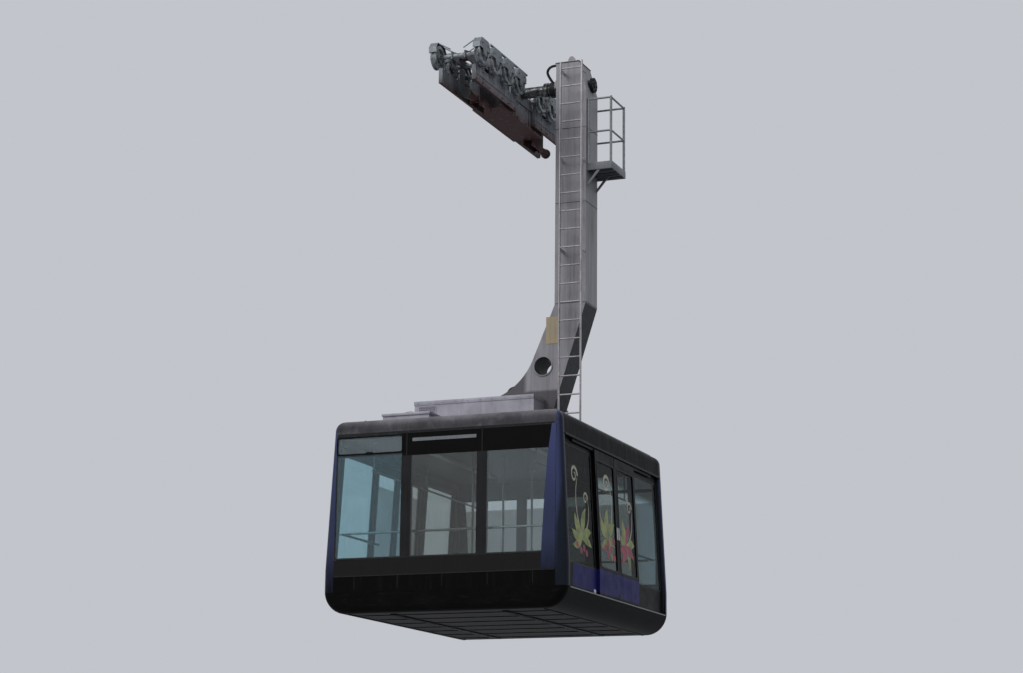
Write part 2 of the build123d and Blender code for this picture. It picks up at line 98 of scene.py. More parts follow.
def linear(code):
    """Linear colour of an sRGB hex value."""
    channels = [int(code[i:i + 2], 16) / 255 for i in (0, 2, 4)]
    return [c / 12.92 if c <= 0.04045 else ((c + 0.055) / 1.055) ** 2.4 for c in channels] + [1.0]


def per_mm(size):
    """Texture scale that repeats about once in a size in millimetres."""
    return 1000 / size


def add(kind, inputs, take=None, **settings):
    """Adds a shader node with settings, values and links, and gives the output that is asked for.
    A value in text is an sRGB hex colour."""
    made = at.tree.nodes.new("ShaderNode" + kind)
    for name, value in settings.items():
        setattr(made, name, value)
    sockets = {socket.identifier: socket for socket in made.inputs}
    for name, value in inputs.items():
        socket = sockets.get(name) or made.inputs[name]
        if isinstance(value, bpy.types.NodeSocket):
            at.tree.links.new(value, socket)
        else:
            socket.default_value = linear(value) if isinstance(value, str) else value
    shown = [socket for socket in made.outputs if socket.enabled]
    return made.outputs[take] if take else (shown[0] if shown else None)


def finish(lay_out, name=None):
    """The material whose shader lay_out gives, under its own name unless another is given. at holds
    its node tree, the place in metres, how far that is along and across, and its height above the
    cabin's underside."""
    made = bpy.data.materials.new(name or lay_out.__name__)
    made.use_nodes = True
    at.tree = made.node_tree
    at.tree.nodes.clear()
    at.place = add("TexCoord", {}, take="Object")
    at.along, at.across, up = add("SeparateXYZ", {"Vector": at.place}).node.outputs
    at.height = add("Math", {"Value": up, "Value_001": cabin_drop})
    add("OutputMaterial", {"Surface": lay_out()})
    return made


def mottle(size, stretch=(1, 1, 1), detail=4.0):
    """Cloudy pattern of about a size in mm, drawn out along an axis whose share of stretch is small."""
    moved = add("Mapping", {"Vector": at.place, "Scale": stretch})
    return add("TexNoise", {"Vector": moved, "Scale": per_mm(size), "Detail": detail, "Roughness": 0.6})


def facing(axis):
    """How far a face looks along an axis, from -1 to 1."""
    return add("SeparateXYZ", {"Vector": add("NewGeometry", {}, take="Normal")}, take=axis)


def lay_over(base, *coats):
    """Lays coats over a base colour: each a colour, a pattern, the two values of the pattern between
    which it comes in, and the most that it covers, which is all unless given."""
    for colour, pattern, low, high, *most in coats:
        share = add("MapRange", {"Value": pattern, "From Min": low, "From Max": high,
                                 "To Max": most[0] if most else 1.0})
        base = add("Mix", {"Factor_Float": share, "A_Color": base, "B_Color": colour}, data_type="RGBA")
    return base


def where(*spans, how="MULTIPLY"):
    """1 where each value has passed its span from a start to an end, or with MAXIMUM where any has."""
    shares = [add("MapRange", {"Value": value, "From Min": start, "From Max": end})
            for value, start, end in spans]
    met = shares[0]
    for share in shares[1:]:
        met = add("Math", {"Value": met, "Value_001": share}, operation=how)
    return met


def sprayed(colour, dull, gloss, wave=10, depth=0.0006):
    """Sprayed coat that dried to a faint wave of a size in mm and a depth in metres. dull is a
    pattern, two of its values and the roughness at each, or one roughness. gloss is the IOR."""
    if isinstance(dull, tuple):
        pattern, low, high, smooth, rough = dull
        dull = add("MapRange", {"Value": pattern, "From Min": low, "From Max": high,
                                "To Min": smooth, "To Max": rough})
    peel = add("Bump", {"Height": mottle(wave, detail=1.0), "Distance": depth, "Strength": 0.6})
    return add("BsdfPrincipled", {"Base Color": colour, "Roughness": dull, "IOR": gloss, "Normal": peel})


def metal(colour, metallic, pattern, low, high, smooth, rough):
    """Bare metal, whose roughness goes from smooth to rough as a pattern goes from low to high."""
    dull = add("MapRange", {"Value": pattern, "From Min": low, "From Max": high,
                            "To Min": smooth, "To Max": rough})
    return add("BsdfPrincipled", {"Base Color": colour, "Metallic": metallic, "Roughness": dull})


def lacquered(colour, smooth, rough, gloss):
    """Polished coach lacquer, whose shine goes in patches from one roughness to another."""
    dull = (mottle(180), 0.35, 0.75, smooth, rough)
    return sprayed(colour, dull, gloss, 14, 0.0004)


def glazed(tint, dust, most, gloss, clear):
    """Laminated glass with dried rain on its face. most is the most that dust covers, gloss the IOR
    and clear the share of light that passes."""
    dusty = lay_over(tint, (dust, mottle(45, (1, 1, 0.15)), 0.5, 0.85, most))
    return add("BsdfPrincipled", {"Base Color": dusty, "Roughness": 0.0, "IOR": gloss,
                                  "Transmission Weight": clear})


# Finishes

def enamel(name, colour, faded, grime, streaks, gloss=1.45):
    """Sprayed steel enamel: orange peel, chalky patches and rain streaks. gloss is its IOR."""
    def lay_out():
        streak = mottle(28, (1, 1, 0.035))
        tone = lay_over(colour, (faded, mottle(420), 0.42, 0.72), (grime, streak, 0.5, 0.78, streaks))
        return sprayed(tone, (streak, 0.3, 0.8, 0.45, 0.65), gloss)
    return finish(lay_out, name)


def zinc(name, bright, dark):
    """Hot-dip galvanised steel: dull zinc, grey stains, and spangle drawn at 24 mm so that it shows."""
    def lay_out():
        crystal = add("TexVoronoi", {"Vector": at.place, "Scale": per_mm(24)}, take="Color")
        grey = add("RGBToBW", {"Color": crystal})
        tone = lay_over(dark, (bright, grey, 0.0, 1.0), ("4E4B46", mottle(260), 0.5, 0.75, 0.6),
                        ("3A3530", mottle(30, (1, 1, 0.1)), 0.55, 0.8, 0.6))
        return metal(tone, 0.45, grey, 0.0, 1.0, 0.42, 0.6)
    return finish(lay_out, name)


def film_coated_glass(name, tint, film):
    """Body-tinted laminated glass with a sun film up to a height and dried rain on its face."""
    def lay_out():
        tone = lay_over(film, (tint, at.height, film_top - 0.006, film_top + 0.006))
        return glazed(tone, "A9ADAB", 0.3, 1.2, 0.97)
    return finish(lay_out, name)


def cast_film(name, colour, deep):
    """Cast vinyl film on glass: an even printed colour that deepens in soft patches."""
    def lay_out():
        tone = lay_over(colour, (deep, mottle(160), 0.38, 0.66))
        return add("BsdfPrincipled", {"Base Color": tone, "Roughness": 0.4, "IOR": 1.3})
    return finish(lay_out, name)


@finish
def hanger_enamel():
    """Grey enamel on welded plate, rain-streaked and dark at the foot, with painted shade in the bore
    and on overhangs.
    """
    # Painted shade: the inside of the bore and the faces that look down are darkened almost to black.
    aside = add("Mapping", {"Vector": at.place, "Location": (0, -hole_y, -hole_z), "Scale": (0, 1, 1)})
    reach = add("VectorMath", {"Vector": aside}, take="Value", operation="LENGTH")
    painted_shade = where((facing("Z"), -0.12, -0.22),
                   (reach, hole_radius + 0.002, hole_radius + 0.001), how="MAXIMUM")
    foot = where((at.height, 3.44, 3.4), (at.across, -0.47, -0.4), how="MAXIMUM")
    streak = mottle(34, (1, 1, 0.03))
    tone = lay_over("9C9BA0", ("8B8A8E", mottle(380, (1, 1, 0.4)), 0.4, 0.7),
                    ("55524F", streak, 0.48, 0.76, 0.45), ("4B474B", foot, 0.0, 1.0, 0.8),
                    ("22282A", painted_shade, 0.0, 1.0, 0.92))
    return sprayed(tone, (streak, 0.3, 0.8, 0.42, 0.6), 1.2)


@finish
def housing_enamel():
    """Lavender-grey enamel on folded sheet, chalky in patches, with painted shade on the end under the
    hanger.
    """
    streak = mottle(70, (1, 1, 0.08))
    # Painted shade: faces that look towards -Y, on the end under the hanger, are darkened to 4B484C.
    tone = lay_over("B4B2BC", ("9896A0", mottle(460), 0.4, 0.7),
                    ("4B484C", facing("Y"), -0.3, -0.8, 0.8), ("6E6B70", streak, 0.5, 0.8, 0.35))
    return sprayed(tone, (streak, 0.3, 0.8, 0.38, 0.55), 1.45)


@finish
def violet_coach_lacquer():
    """Violet-blue coach lacquer, hazed by washing, that turns navy down the post; painted shade
    makes it navy round its long side. On the two posts that carry a leaning band it ends along the
    band's slant."""
    # Painted shade: faces that look across the cabin, round the post's long side, are darkened to navy.
    side_shade = add("Math", {"Value": facing("Y")}, operation="ABSOLUTE")
    reach = add("Math", {"Value": at.across}, operation="ABSOLUTE")
    slant = add("MapRange", {"Value": at.height, "From Min": 1.1, "From Max": 2.4,
                             "To Min": 1.69, "To Max": 1.87})
    past = add("Math", {"Value": reach, "Value_001": slant}, operation="SUBTRACT")
    diagonal = add("Math", {"Value": at.along, "Value_001": at.across}, operation="MULTIPLY")
    outer = where((past, -0.03, 0.03), (diagonal, -0.01, 0.01))
    violet = lay_over("3C4362", ("4C537E", at.height, 1.3, 2.5))
    tone = lay_over("10131B", (violet, at.height, 0.35, 1.0),
                    ("4C5184", mottle(90, (1, 1, 0.2)), 0.5, 0.8, 0.25),
                    ("141826", side_shade, 0.3, 0.85, 0.85), ("1A2029", outer, 0.0, 1.0, 0.92))
    return lacquered(tone, 0.24, 0.42, 1.2)


@finish
def black_coach_lacquer():
    """Black coach lacquer, charcoal above the skirt's joint, with dried splashes from below."""
    tone = lay_over("080808", ("292726", at.height, 0.51, 0.53),
                    ("232120", mottle(60, (1, 1, 0.1)), 0.5, 0.8, 0.5),
                    ("2A2826", mottle(26, detail=2.0), 0.66, 0.72, 0.35))
    return lacquered(tone, 0.3, 0.5, 1.15)


@finish
def sill_band_lacquer():
    """Black coach lacquer with an indigo band painted along the sill, between the corner posts."""
    soft = 0.002
    edges = ((at.along, -1.81, soft), (at.along, 0.95, -soft),
             (at.height, 0.335, soft), (at.height, 0.67, -soft))
    painted = where(*[(value, edge - rise, edge + rise) for value, edge, rise in edges])
    tone = lay_over("0A0A0B", ("242360", painted, 0.0, 1.0),
                    ("17161C", mottle(70, (1, 1, 0.2)), 0.45, 0.8, 0.6))
    return lacquered(tone, 0.3, 0.5, 1.12)


@finish
def roof_enamel():
    """Grey satin enamel on the roof and end coves, with a painted highlight along the bend, black on
    the long sides.
    """
    reach = add("Math", {"Value": at.across}, operation="ABSOLUTE")
    side = where((at.height, 2.72, 2.7), (reach, 1.675, 1.685))
    cove = add("MapRange", {"Value": at.height, "From Min": 2.75, "From Max": 2.7,
                            "To Min": 0.45, "To Max": 0.8})
    cloud = where((mottle(420), 0.4, 0.68))
    stained = add("Math", {"Value": cloud, "Value_001": cove}, operation="MULTIPLY")
    streak = mottle(60, (1, 1, 0.15))
    # Painted highlight: the top of the cove's bend, from 2.6 m up to the roof, is lightened to 77757A.
    tone = lay_over("57565A", ("77757A", at.height, 2.6, 2.75),
                    ("3E3E40", stained, 0.0, 1.0), ("84838A", mottle(150), 0.56, 0.8, 0.5),
                    ("33312E", streak, 0.5, 0.8, 0.3), ("0A0A0B", side, 0.0, 1.0))
    return sprayed(tone, (streak, 0.3, 0.8, 0.4, 0.6), 1.12, 12)


@finish
def floor_pan_coating():
    """Black lacquer on the floor pan's rounded skirt, dull brown-black underseal below."""
    tone = lay_over("1C1B1A", ("0B0B0A", at.height, 0.01, 0.09),
                    ("1A1917", mottle(350), 0.45, 0.75, 0.5),
                    ("35322D", mottle(40, (1, 0.2, 1)), 0.55, 0.8, 0.35))
    return sprayed(tone, 0.55, 1.12, 16, 0.0008)


@finish
def end_screen_glass():
    """End screen: teal below the hopper window, paler in the hopper, greyed in the other panes."""
    teal = lay_over("B2D4DD", ("DEF0F5", at.height, 2.24, 2.27))
    tint = lay_over("C8D4D6", ("B4B9B6", at.across, -0.6, -0.56), (teal, at.across, 0.56, 0.6))
    return glazed(tint, "A4A9A8", 0.4, 1.4, 0.9)


@finish
def grey_green_side_glass():
    """Dark grey-green side glass, darkest at the rear, paler to the front, with a sun strip on top."""
    tint = lay_over("4A5350", ("8E9997", at.along, -0.86, -0.84), ("98B3BA", at.along, 0.86, 1.3),
                    ("3E4644", at.height, 1.9, 2.02))
    return glazed(tint, "5E6462", 0.3, 1.08, 0.97)


@finish
def wall_laminate():
    """Grey-brown decorative laminate over board, faintly mottled, with rubbed patches."""
    tone = lay_over("5C5751", ("6E6861", mottle(12, detail=2.0), 0.35, 0.65),
                    ("3B3834", mottle(90, (1, 1, 0.3)), 0.55, 0.8, 0.4))
    return add("BsdfPrincipled", {"Base Color": tone, "Roughness": 0.45})


@finish
def studded_floor_rubber():
    """Black studded floor rubber: round studs at 30 mm, dusty between them."""
    cell = add("TexVoronoi", {"Vector": at.place, "Scale": per_mm(30), "Randomness": 0.0})
    stud = where((cell, 0.36, 0.28))
    raised = add("Bump", {"Height": stud, "Distance": 0.003, "Strength": 1.0})
    tone = lay_over("2D2C2A", ("1C1C1D", stud, 0.0, 1.0))
    return add("BsdfPrincipled", {"Base Color": tone, "Roughness": 0.6, "Normal": raised})


@finish
def opal_acrylic():
    """Opal acrylic lamp cover: milky, with prismatic ribs drawn at 8 mm so that they show."""
    rib = add("TexWave", {"Vector": at.place, "Scale": per_mm(8) / 20}, bands_direction="X")
    ribbed = add("Bump", {"Height": rib, "Distance": 0.0008, "Strength": 0.5})
    tone = lay_over("C6C9C8", ("B2B6B5", mottle(80), 0.4, 0.8))
    return add("BsdfPrincipled", {"Base Color": tone, "Roughness": 0.3, "Normal": ribbed,
                                  "Subsurface Weight": 0.2, "Subsurface Scale": 0.01})


@finish
def brushed_stainless():
    """Satin stainless tube, brushed along its length, hazed by hands."""
    tone = lay_over("8D928F", ("B6BAB7", mottle(3, (0.05, 0.05, 1)), 0.2, 0.8))
    return metal(tone, 1.0, mottle(120), 0.3, 0.8, 0.25, 0.45)


@finish
def greased_steel():
    """Turned steel with a film of old grease."""
    grease = mottle(60)
    tone = lay_over("6A6B6C", ("211F1C", grease, 0.4, 0.65))
    return metal(tone, 0.8, grease, 0.4, 0.65, 0.3, 0.6)


@finish
def cast_aluminium_sheave():
    """Cast aluminium sheave, grainy dull grey with black grease spread over it."""
    grain = mottle(6, detail=2.0)
    tone = lay_over("7B8084", ("9CA1A5", grain, 0.3, 0.7), ("26241F", mottle(70), 0.45, 0.66, 0.9))
    rough = add("Bump", {"Height": grain, "Distance": 0.0008, "Strength": 0.7})
    return add("BsdfPrincipled", {"Base Color": tone, "Metallic": 0.5, "Roughness": 0.5, "Normal": rough})


@finish
def girder_enamel():
    """Grey machine enamel, worn to rust-red primer on its lower edges, with black grease runs."""
    low = add("MapRange", {"Value": at.height, "From Min": cabin_drop - 0.05,
                           "From Max": cabin_drop - 0.3, "To Max": 0.75})
    under = where((facing("Z"), -0.2, -0.8))
    most = add("Math", {"Value": low, "Value_001": under}, operation="MAXIMUM")
    patchy = add("MapRange", {"Value": mottle(130), "From Min": 0.25, "From Max": 0.6,
                              "To Min": 0.4, "To Max": 1.0})
    worn = add("Math", {"Value": most, "Value_001": patchy}, operation="MULTIPLY")
    tone = lay_over("7A7E84", ("94989E", mottle(160), 0.4, 0.7), ("5A2E28", worn, 0.1, 0.7, 0.95),
                    ("1D1B18", mottle(24, (1, 1, 0.06)), 0.46, 0.72, 0.7))
    return add("BsdfPrincipled", {"Base Color": tone, "Roughness": 0.5, "IOR": 1.15})


@finish
def weathered_edge_rubber():
    """Extruded black rubber, chalky where it has weathered."""
    tone = lay_over("0F0F10", ("232323", mottle(50), 0.45, 0.75, 0.6))
    return add("BsdfPrincipled", {"Base Color": tone, "Roughness": 0.65, "IOR": 1.4})


@finish
def anodised_trim():
    """Clear anodised aluminium extrusion, with drawn lines along it and dull spots."""
    tone = lay_over("5E6063", ("85878A", mottle(4, (0.04, 1, 1)), 0.2, 0.8))
    return metal(tone, 0.8, mottle(90), 0.3, 0.8, 0.3, 0.5)


dark_enamel = enamel("dark_enamel", "262628", "1B1B1C", "121111", 0.3, 1.25)
grey_enamel = enamel("grey_enamel", "84888C", "767A7E", "4C4E50", 0.3, 1.3)
frame_enamel = enamel("black_frame_enamel", "0D0D0D", "090909", "181716", 0.3, 1.15)
faded_yellow = enamel("faded_yellow_enamel", "AC9A7A", "A1957F", "7A7466", 0.5)
ladder_zinc = zinc("ladder_zinc", "B9B4B6", "9A9597")
guard_zinc = zinc("guard_zinc", "8D949A", "585E63")
basket_zinc = zinc("basket_zinc", "96989B", "6E7073")
film_glass = film_coated_glass("grey_film_glass", "F0F6F6", "9EA2A1")
teal_glass = film_coated_glass("teal_safety_glass", "DDEBEC", "DDEBEC")
leaf_film = cast_film("yellow_green_film", "939C58", "5C6C44")
berry_film = cast_film("berry_red_film", "9E3A50", "6E2C3E")
curl_film = cast_film("pale_khaki_film", "B0AF9A", "8C8B78")

slot_finishes = {
    "cabin_skin": sill_band_lacquer, "roof_skin": roof_enamel, "corner_paint": violet_coach_lacquer,
    "door_paint": sill_band_lacquer, "window_glass": teal_glass, "inside_trim": wall_laminate,
    "floor_cover": studded_floor_rubber, "lamp_cover": opal_acrylic, "tube_metal": brushed_stainless,
    "hanger_paint": hanger_enamel, "galvanised": guard_zinc, "black_cap": dark_enamel,
    "plate_paint": faded_yellow, "carriage_paint": girder_enamel, "wheel_steel": cast_aluminium_sheave,
    "axle_steel": greased_steel,
}
# By the start of a node's name, where it isn't finished as its slot is
node_finishes = {
    "end_panel": black_coach_lacquer, "end_frame": frame_enamel, "floor_pan": floor_pan_coating,
    "roof_housing": housing_enamel, "roof_hatch": housing_enamel, "ladder": ladder_zinc,
    "end_glass_rear": end_screen_glass, "end_glass_front": film_glass,
    "side_glass_right": grey_green_side_glass, "door_glass_right": grey_green_side_glass,
    "door_glass_left": film_glass, "basket_floor": grey_enamel, "basket_rails": basket_zinc,
    "door_rails": dark_enamel, "haul_sockets": girder_enamel,
}
for part in frame["record"]["subparts"]:
    own = [made for start, made in node_finishes.items() if part["node"].startswith(start)]
    nodes[part["node"]].material_slots[0].material = (own + [slot_finishes[part["material_slot"]]])[0]


# Shapes of the added pieces. Each is built in this one mesh, which piece() then takes and clears.

shape = bmesh.new()


def edges_of(made):
    """Edges of vertices, each once and in the same order each run."""
    return list(dict.fromkeys(edge for vert in made for edge in vert.link_edges))


def box(low, high, ease):
    """Block between two corners, its edges eased by a small bevel."""
    made = bmesh.ops.create_cube(shape, size=1)["verts"]
    bmesh.ops.scale(shape, vec=[h - l for l, h in zip(low, high)], verts=made)
    bmesh.ops.translate(shape, vec=[(h + l) / 2 for l, h in zip(low, high)], verts=made)
    bmesh.ops.bevel(shape, geom=edges_of(made), offset=ease, segments=2, affect="EDGES", profile=0.5)


def rod(start, end, radius, tip=None, sides=20):
    """Round rod or cone between two points. Gives its vertices."""
    start, end = Vector(start), Vector(end)
    turn = (end - start).to_track_quat("Z", "Y").to_matrix().to_4x4()
    place = Matrix.Translation((start + end) / 2) @ turn
    tip = radius if tip is None else tip
    return bmesh.ops.create_cone(shape, cap_ends=True, segments=sides, radius1=radius, radius2=tip,
                                 depth=(end - start).length, matrix=place)["verts"]


def bolts(places, out, across):
    """Hexagon heads on washers at places, standing out from a face."""
    out = Vector(out).normalized()
    for place in map(Vector, places):
        washer = place + out * across * 0.12
        rod(place, washer, across * 0.85)
        rod(washer, place + out * across * 0.6, across * 0.58, across * 0.54, 6)


def ring_of(count, radius, start=0.0):
    """Points evenly round a circle."""
    turns = [2 * pi * (index + start) / count for index in range(count)]
    return [(radius * cos(turn), radius * sin(turn)) for turn in turns]


def rounded(low, high, radius, steps=5):
    """Outline of a rectangle with rounded corners, anticlockwise."""
    left, bottom, right, top = low[0] + radius, low[1] + radius, high[0] - radius, high[1] - radius
    points = []
    for quarter, (a, b) in enumerate(((right, top), (left, top), (left, bottom), (right, bottom))):
        for step in range(steps + 1):
            turn = (quarter + step / steps) * pi / 2
            points.append((a + radius * cos(turn), b + radius * sin(turn)))
    return points


def flipped(sign, low, high):
    """Corners of a rectangle, mirrored across the middle when sign is -1."""
    near, far = sorted((sign * low[0], sign * high[0]))
    return (near, low[1]), (far, high[1])


def walls(row, other):
    """Faces between two closed rows of as many points."""
    for corners in zip(row, row[1:] + row[:1], other[1:] + other[:1], other):
        shape.faces.new(corners)


def solid(low, high):
    """Solid between two outlines of as many points."""
    lower, upper = [[shape.verts.new(point) for point in outline] for outline in (low, high)]
    shape.faces.new(lower)
    shape.faces.new(upper)
    walls(lower, upper)


def slab(place, outline, top, bottom=0.0):
    """Plate with an outline in a face, between two depths out of it. place maps along, up, out."""
    solid(*[[place(a, b, depth) for a, b in outline] for depth in (bottom, top)])


def plate(place, low, high, radius, top, bottom=0.0, steps=5):
    """Slab between two corners, with rounded corners."""
    slab(place, rounded(low, high, radius, steps), top, bottom)


def band(place, inner, outer, top):
    """Flat ring between two outlines of as many points."""
    rows = [[shape.verts.new(place(a, b, depth)) for a, b in outline]
            for outline, depth in ((inner, 0.0), (inner, top), (outer, top), (outer, 0.0))]
    for row, other in zip(rows, rows[1:] + rows[:1]):
        walls(row, other)


def border(place, low, high, width, top, radius):
    """Rubber or metal border around a window between two corners."""
    outer = [(low[0] - width, low[1] - width), (high[0] + width, high[1] + width)]
    band(place, rounded(low, high, radius), rounded(*outer, radius + width), top)


def put(name, data):
    """Puts a mesh, curve, lamp or camera in the scene."""
    made = bpy.data.objects.new(name, data)
    bpy.context.scene.collection.objects.link(made)
    return made


def settle(name, data, material, body):
    """Gives a piece its material and the body it rides on."""
    data.materials.append(material)
    made = put(name, data)
    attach(made, body)


def piece(name, material, body="cabin"):
    """Makes a piece of all that was built since the last one."""
    bmesh.ops.recalc_face_normals(shape, faces=shape.faces)
    mesh = bpy.data.meshes.new(name)
    shape.to_mesh(mesh)
    shape.clear()
    mesh.shade_smooth()
    mesh.set_sharp_from_angle(angle=radians(35))
    settle(name, mesh, material, body)


def cable(name, points, radius, material=weathered_edge_rubber):
    """Smooth tube along points, on the cabin's body."""
    line = bpy.data.curves.new(name, "CURVE")
    line.dimensions = "3D"
    line.bevel_depth = radius
    line.bevel_resolution = 3
    line.use_fill_caps = True
    run = line.splines.new("NURBS")
    run.points.add(len(points) - 1)
    for point, place in zip(run.points, points):
        point.co = (*place, 1)
    run.order_u = 3
    run.use_endpoint_u = True
    settle(name, line, material, "cabin")


def on_side(side, inset=0.0):
    """Places points on a side wall, which leans in above the waist: along the cabin, height above its
    underside, and out of the wall."""
    def place(along, up, out):
        lean = max(0.0, up - waist) * roof_inset / (roof_height - inset - waist)
        return Vector((along, side * (half_width - inset - lean + out), up - cabin_drop))
    return place


def on_end(end):
    """Places points on an end wall: across the cabin, height above its underside, out of the wall."""
    return lambda across, up, out: Vector((end * (end_x + out), across, up - cabin_drop))


def on_plate(x, out):
    """Places points on a face square to the way of travel: across, up, and out of the face."""
    return lambda across, up, depth: Vector((x + out * depth, across, up))


def on_roof(along, across, out):
    """Point on the roof's flat top."""
    return Vector((along, across, roof_height - cabin_drop + out))


# Ends of the cabin. A corner in a wall is its place across or along, then its height.

mullion_seams = (-0.5775, 0.5775)
mullion_half = 0.0775
screen_print = (-1.655, 2.2), (0.65, 2.52)
post_slant = [(1.679, 0.53), (1.679, 2.535), (1.62, 2.535), (1.56, 2.1), (1.52, 1.6), (1.485, 1.0),
              (1.465, 0.53)]
seal_inner, seal_outer = ((-1.66, 0.77), (1.66, 2.52)), ((-1.676, 0.752), (1.676, 2.536))
hopper = (0.655, 2.265), (1.655, 2.49)

for end, sign in ends.items():
    face = on_end(sign)
    for across in mullion_seams:
        plate(face, (across - mullion_half, 0.77), (across + mullion_half, 2.205), 0.01, 0.0012)
    piece("mullion_covers_" + end, dark_enamel)

    plate(face, *flipped(-sign, *screen_print), 0.01, 0.0014)
    piece("screen_print_" + end, frame_enamel)

    slab(face, [(sign * across, up) for across, up in post_slant], 0.005)
    piece("post_band_" + end, violet_coach_lacquer)

    band(face, rounded(*seal_inner, 0.03), rounded(*seal_outer, 0.035), 0.004)
    for across in mullion_seams:
        plate(face, (across - 0.006, 0.775), (across + 0.006, 2.515), 0.004, 0.0025)
    piece("screen_seal_" + end, weathered_edge_rubber)

    low, high = flipped(-sign, *hopper)
    border(face, low, high, 0.022, 0.006, 0.025)
    plate(face, (low[0] + 0.45, low[1] - 0.018), (low[0] + 0.55, low[1] + 0.012), 0.006, 0.018)
    piece("hopper_frame_" + end, frame_enamel)

    plate(face, (-1.66, 2.541), (1.66, 2.556), 0.004, 0.007)
    plate(face, (-1.665, 0.512), (1.665, 0.526), 0.004, 0.005)
    piece("end_joint_rubber_" + end, weathered_edge_rubber)

    plate(face, (-0.49, 2.398), (0.49, 2.446), 0.008, 0.006)
    piece("header_strip_" + end, grey_enamel)

    for across in (-1.35, -0.68, 0.0, 0.68, 1.35):
        plate(face, (across - 0.004, 0.34), (across + 0.004, 0.51), 0.002, 0.0015, -0.001)
    for across, up in product((-1.62, -1.08, -0.54, 0.0, 0.54, 1.08, 1.62), (0.545, 0.725)):
        rod(face(across, up, 0.0), face(across, up, 0.003), 0.008, 0.006, 12)
    piece("end_screws_" + end, dark_enamel)

# Long sides of the cabin

side_window = (0.932, 0.662), (1.978, 2.288)
leaf_window = (0.08, 0.712), (0.776, 2.228)

for side, sign in sides.items():
    skin, wall, leaf_face = [on_side(sign, inset) for inset in (0.0, door_recess, leaf_inset)]
    plate(skin, (-2.05, 0.281), (2.05, 0.296), 0.004, 0.006, -0.002, 2)
    piece("sill_trim_" + side, anodised_trim)

    plate(skin, (-2.055, 2.401), (2.055, 2.425), 0.006, 0.012, -0.001, 2)
    plate(skin, (-2.055, 2.43), (2.055, 2.436), 0.002, 0.004, -0.001, 2)
    piece("door_drip_rail_" + side, dark_enamel)

    for end_sign in ends.values():
        border(wall, *flipped(end_sign, *side_window), 0.022, 0.0006, 0.05)
        plate(wall, *flipped(end_sign, (2.03, 0.31), (2.056, 2.395)), 0.004, 0.03, steps=2)
    piece("side_window_seals_" + side, weathered_edge_rubber)

    place, out = skin(sign * 1.09, 0.32, 0.0), Vector((0, sign, 0))
    rod(place, place + out * 0.01, 0.034, 0.031, 24)
    rod(place + out * 0.01, place + out * 0.017, 0.026, 0.018, 24)
    piece("side_reflector_" + side, opal_acrylic)

    for end, end_sign in ends.items():
        body = f"door_{side}_{end}"
        border(leaf_face, *flipped(end_sign, *leaf_window), 0.024, 0.0035, 0.05)
        plate(leaf_face, *flipped(end_sign, (0.0035, 0.312), (0.034, 2.38)), 0.003, 0.004, steps=2)
        piece("leaf_seal_" + body, weathered_edge_rubber, body)

        plate(leaf_face, *flipped(end_sign, (0.012, 1.18), (0.056, 1.36)), 0.012, 0.0045)
        piece("leaf_grip_" + body, brushed_stainless, body)

# Film cut-outs on the right side's panes: a spray of leaves, berries and curling shoots

film_thickness = 0.00015


def ribbon(start, bend, end, width, leaf=False):
    """Outline of a shoot that thins out along a bow, or of a leaf that is widest in its middle."""
    start, bend, end = Vector(start), Vector(bend), Vector(end)
    left, right = [], []
    for part in (step / 14 for step in range(15)):
        middle = start * (1 - part) ** 2 + bend * (2 * part * (1 - part)) + end * part ** 2
        way = ((bend - start) * (1 - part) + (end - bend) * part).normalized()
        half = width / 2 * (max(sin(pi * part), 0.02) if leaf else 1.0 - 0.75 * part)
        out = Vector((-way.y, way.x)) * half
        left.append(middle + out)
        right.append(middle - out)
    return [tuple(point) for point in left + right[::-1]]


def curl(middle, radius, turns, width):
    """Outline of a shoot that winds inwards."""
    edges = [], []
    for part in (step / 40 for step in range(41)):
        turn = part * turns * 2 * pi
        reach = radius * (1 - 0.75 * part)
        half = width / 2 * (1 - 0.6 * part)
        for edge, away in zip(edges, (reach - half, reach + half)):
            edge.append((middle[0] + away * cos(turn), middle[1] + away * sin(turn)))
    return edges[0] + edges[1][::-1]


def berries(radius, *middles):
    """Outlines of round berries."""
    return [[(x + a, y + b) for a, b in ring_of(28, radius)] for x, y in middles]


def fan(root, *leaves):
    """Outlines of leaves that spread from one point: each has a turn in degrees, length and width."""
    outlines = []
    for turn, reach, width in leaves:
        way = Vector((cos(radians(turn)), sin(radians(turn))))
        middle = Vector(root) + way * reach / 2
        bend = middle + Vector((-way.y, way.x)) * reach * 0.18
        outlines.append(ribbon(root, bend, middle + way * reach / 2, width, True))
    return outlines


